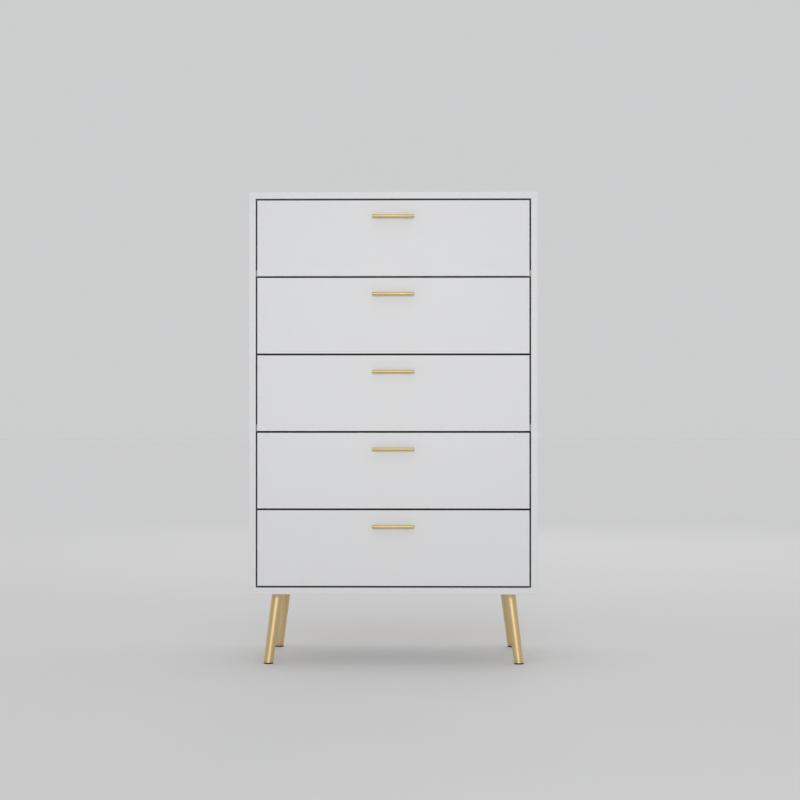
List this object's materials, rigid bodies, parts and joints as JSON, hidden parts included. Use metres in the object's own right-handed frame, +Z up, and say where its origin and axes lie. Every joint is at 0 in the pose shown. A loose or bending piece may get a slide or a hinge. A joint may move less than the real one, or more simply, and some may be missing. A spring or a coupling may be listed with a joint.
{
  "type": "tall chest of drawers",
  "caption": "Tall narrow chest of flush inset drawers with bar handles, on splayed round metal legs; the drawers run on telescopic slides.",
  "frame": {"origin": "on the floor, under the middle of the footprint taken over the handles", "axes": "+Z up; the drawer fronts face -Y, and drawers open towards -Y; +X is to the right for a person facing the fronts"},
  "size_m": [0.7, 0.416, 1.15],
  "materials": {
    "white_board": "satin white laminate on particle board",
    "back_board": "thin white-faced fibreboard",
    "drawer_board": "matt white foil on particle board",
    "drawer_base_board": "thin white-faced fibreboard",
    "gold_leg": "satin gold-coloured steel",
    "gold_handle": "brushed gold",
    "zinc_steel": "bright zinc plate",
    "black_steel": "black electro-coated steel",
    "cast_zinc": "as cast",
    "dowel_wood": "fluted beech",
    "black_plastic": "moulded"
  },
  "bodies": {
    "carcass": {"top_panel": "white_board", "bottom_panel": "white_board", "side_panel_left": "white_board", "side_panel_right": "white_board", "back_panel": "back_board", "upper_rail": "white_board", "lower_rail": "white_board", "cam_bolts": "zinc_steel", "cam_discs": "cast_zinc", "dowels": "dowel_wood", "leg_front_left": "gold_leg", "leg_front_right": "gold_leg", "leg_back_left": "gold_leg", "leg_back_right": "gold_leg", "leg_studs": "zinc_steel", "leg_inserts": "zinc_steel", "leg_glides": "black_plastic", "cabinet_slides": "black_steel", "cabinet_slide_screws": "zinc_steel"},
    "drawer_1": {"drawer_front_1": "white_board", "drawer_sides_1": "drawer_board", "drawer_back_1": "drawer_board", "drawer_bottom_1": "drawer_base_board", "handle_1": "gold_handle", "drawer_screws_1": "zinc_steel", "drawer_slides_1": "black_steel"},
    "slide_pair_1": {"middle_slides_1": "black_steel"},
    "drawer_2": {"drawer_front_2": "white_board", "drawer_sides_2": "drawer_board", "drawer_back_2": "drawer_board", "drawer_bottom_2": "drawer_base_board", "handle_2": "gold_handle", "drawer_screws_2": "zinc_steel", "drawer_slides_2": "black_steel"},
    "slide_pair_2": {"middle_slides_2": "black_steel"},
    "drawer_3": {"drawer_front_3": "white_board", "drawer_sides_3": "drawer_board", "drawer_back_3": "drawer_board", "drawer_bottom_3": "drawer_base_board", "handle_3": "gold_handle", "drawer_screws_3": "zinc_steel", "drawer_slides_3": "black_steel"},
    "slide_pair_3": {"middle_slides_3": "black_steel"},
    "drawer_4": {"drawer_front_4": "white_board", "drawer_sides_4": "drawer_board", "drawer_back_4": "drawer_board", "drawer_bottom_4": "drawer_base_board", "handle_4": "gold_handle", "drawer_screws_4": "zinc_steel", "drawer_slides_4": "black_steel"},
    "slide_pair_4": {"middle_slides_4": "black_steel"},
    "drawer_5": {"drawer_front_5": "white_board", "drawer_sides_5": "drawer_board", "drawer_back_5": "drawer_board", "drawer_bottom_5": "drawer_base_board", "handle_5": "gold_handle", "drawer_screws_5": "zinc_steel", "drawer_slides_5": "black_steel"},
    "slide_pair_5": {"middle_slides_5": "black_steel"}
  },
  "joints": [
    {"name": "drawer_1_pull", "type": "slide", "parent": "carcass", "child": "drawer_1", "axis": [0, -1, 0], "range_m": [0, 0.34]},
    {"name": "slide_1_run", "type": "slide", "parent": "carcass", "child": "slide_pair_1", "axis": [0, -1, 0], "range_m": [0, 0.17]},
    {"name": "drawer_2_pull", "type": "slide", "parent": "carcass", "child": "drawer_2", "axis": [0, -1, 0], "range_m": [0, 0.34]},
    {"name": "slide_2_run", "type": "slide", "parent": "carcass", "child": "slide_pair_2", "axis": [0, -1, 0], "range_m": [0, 0.17]},
    {"name": "drawer_3_pull", "type": "slide", "parent": "carcass", "child": "drawer_3", "axis": [0, -1, 0], "range_m": [0, 0.34]},
    {"name": "slide_3_run", "type": "slide", "parent": "carcass", "child": "slide_pair_3", "axis": [0, -1, 0], "range_m": [0, 0.17]},
    {"name": "drawer_4_pull", "type": "slide", "parent": "carcass", "child": "drawer_4", "axis": [0, -1, 0], "range_m": [0, 0.34]},
    {"name": "slide_4_run", "type": "slide", "parent": "carcass", "child": "slide_pair_4", "axis": [0, -1, 0], "range_m": [0, 0.17]},
    {"name": "drawer_5_pull", "type": "slide", "parent": "carcass", "child": "drawer_5", "axis": [0, -1, 0], "range_m": [0, 0.34]},
    {"name": "slide_5_run", "type": "slide", "parent": "carcass", "child": "slide_pair_5", "axis": [0, -1, 0], "range_m": [0, 0.17]}
  ],
  "couplings": [
    {"joint": "slide_1_run", "follows": "drawer_1_pull", "ratio": 0.5},
    {"joint": "slide_2_run", "follows": "drawer_2_pull", "ratio": 0.5},
    {"joint": "slide_3_run", "follows": "drawer_3_pull", "ratio": 0.5},
    {"joint": "slide_4_run", "follows": "drawer_4_pull", "ratio": 0.5},
    {"joint": "slide_5_run", "follows": "drawer_5_pull", "ratio": 0.5}
  ]
}
